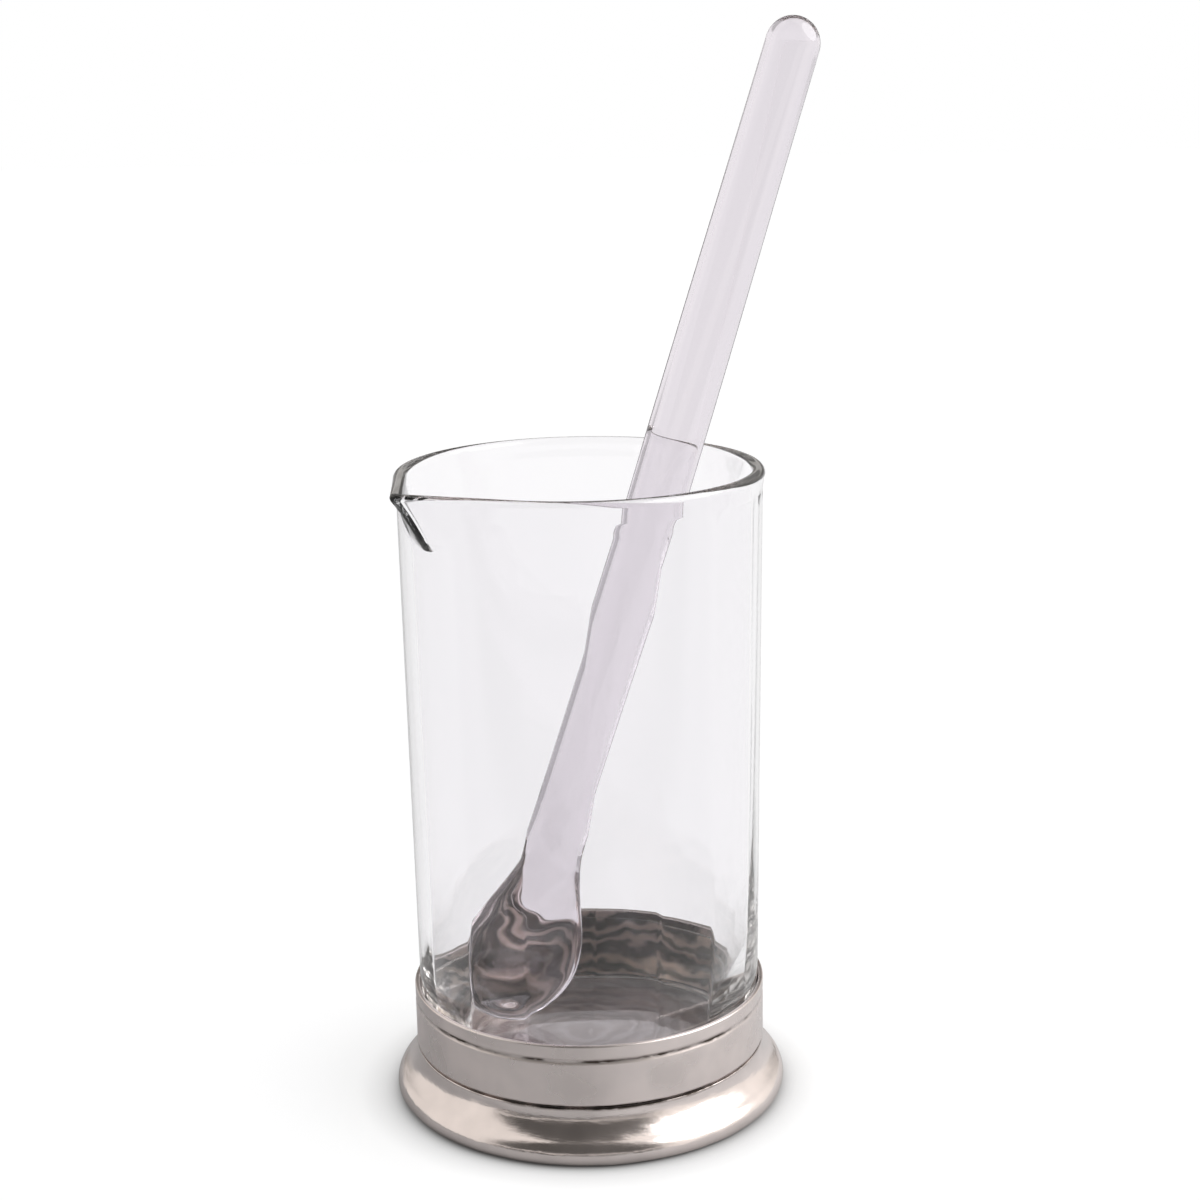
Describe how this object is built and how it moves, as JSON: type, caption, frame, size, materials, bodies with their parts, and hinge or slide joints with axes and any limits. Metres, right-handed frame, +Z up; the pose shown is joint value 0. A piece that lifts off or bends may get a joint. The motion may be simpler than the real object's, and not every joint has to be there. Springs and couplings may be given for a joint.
{
  "type": "cocktail pitcher",
  "caption": "Straight-sided glass mixing pitcher with a pulled pouring beak, bedded in a turned pewter collar on a flared foot, and a solid glass paddle stirrer leaning inside.",
  "frame": {"origin": "centre of the flat face that the foot stands on, on the vessel's own axis", "axes": "+Z up along the vessel's axis, -Y to the front; the beak points 36 degrees from -X towards -Y"},
  "size_m": [0.1269, 0.1128, 0.3016],
  "materials": {
    "vessel_glass": "polished",
    "collar_pewter": "satin",
    "foot_pewter": "polished",
    "cement": "gloss",
    "stirrer_glass": "polished"
  },
  "bodies": {
    "pitcher": {"glass_vessel": "vessel_glass", "collar_cup": "collar_pewter", "foot_ring": "foot_pewter", "cement_bed": "cement"},
    "stirrer": {"stirrer": "stirrer_glass"}
  },
  "joints": [
    {"name": "stirrer_lift", "type": "slide", "parent": "pitcher", "child": "stirrer", "axis": [0, 0, 1], "range_m": [0, 0.18]}
  ]
}
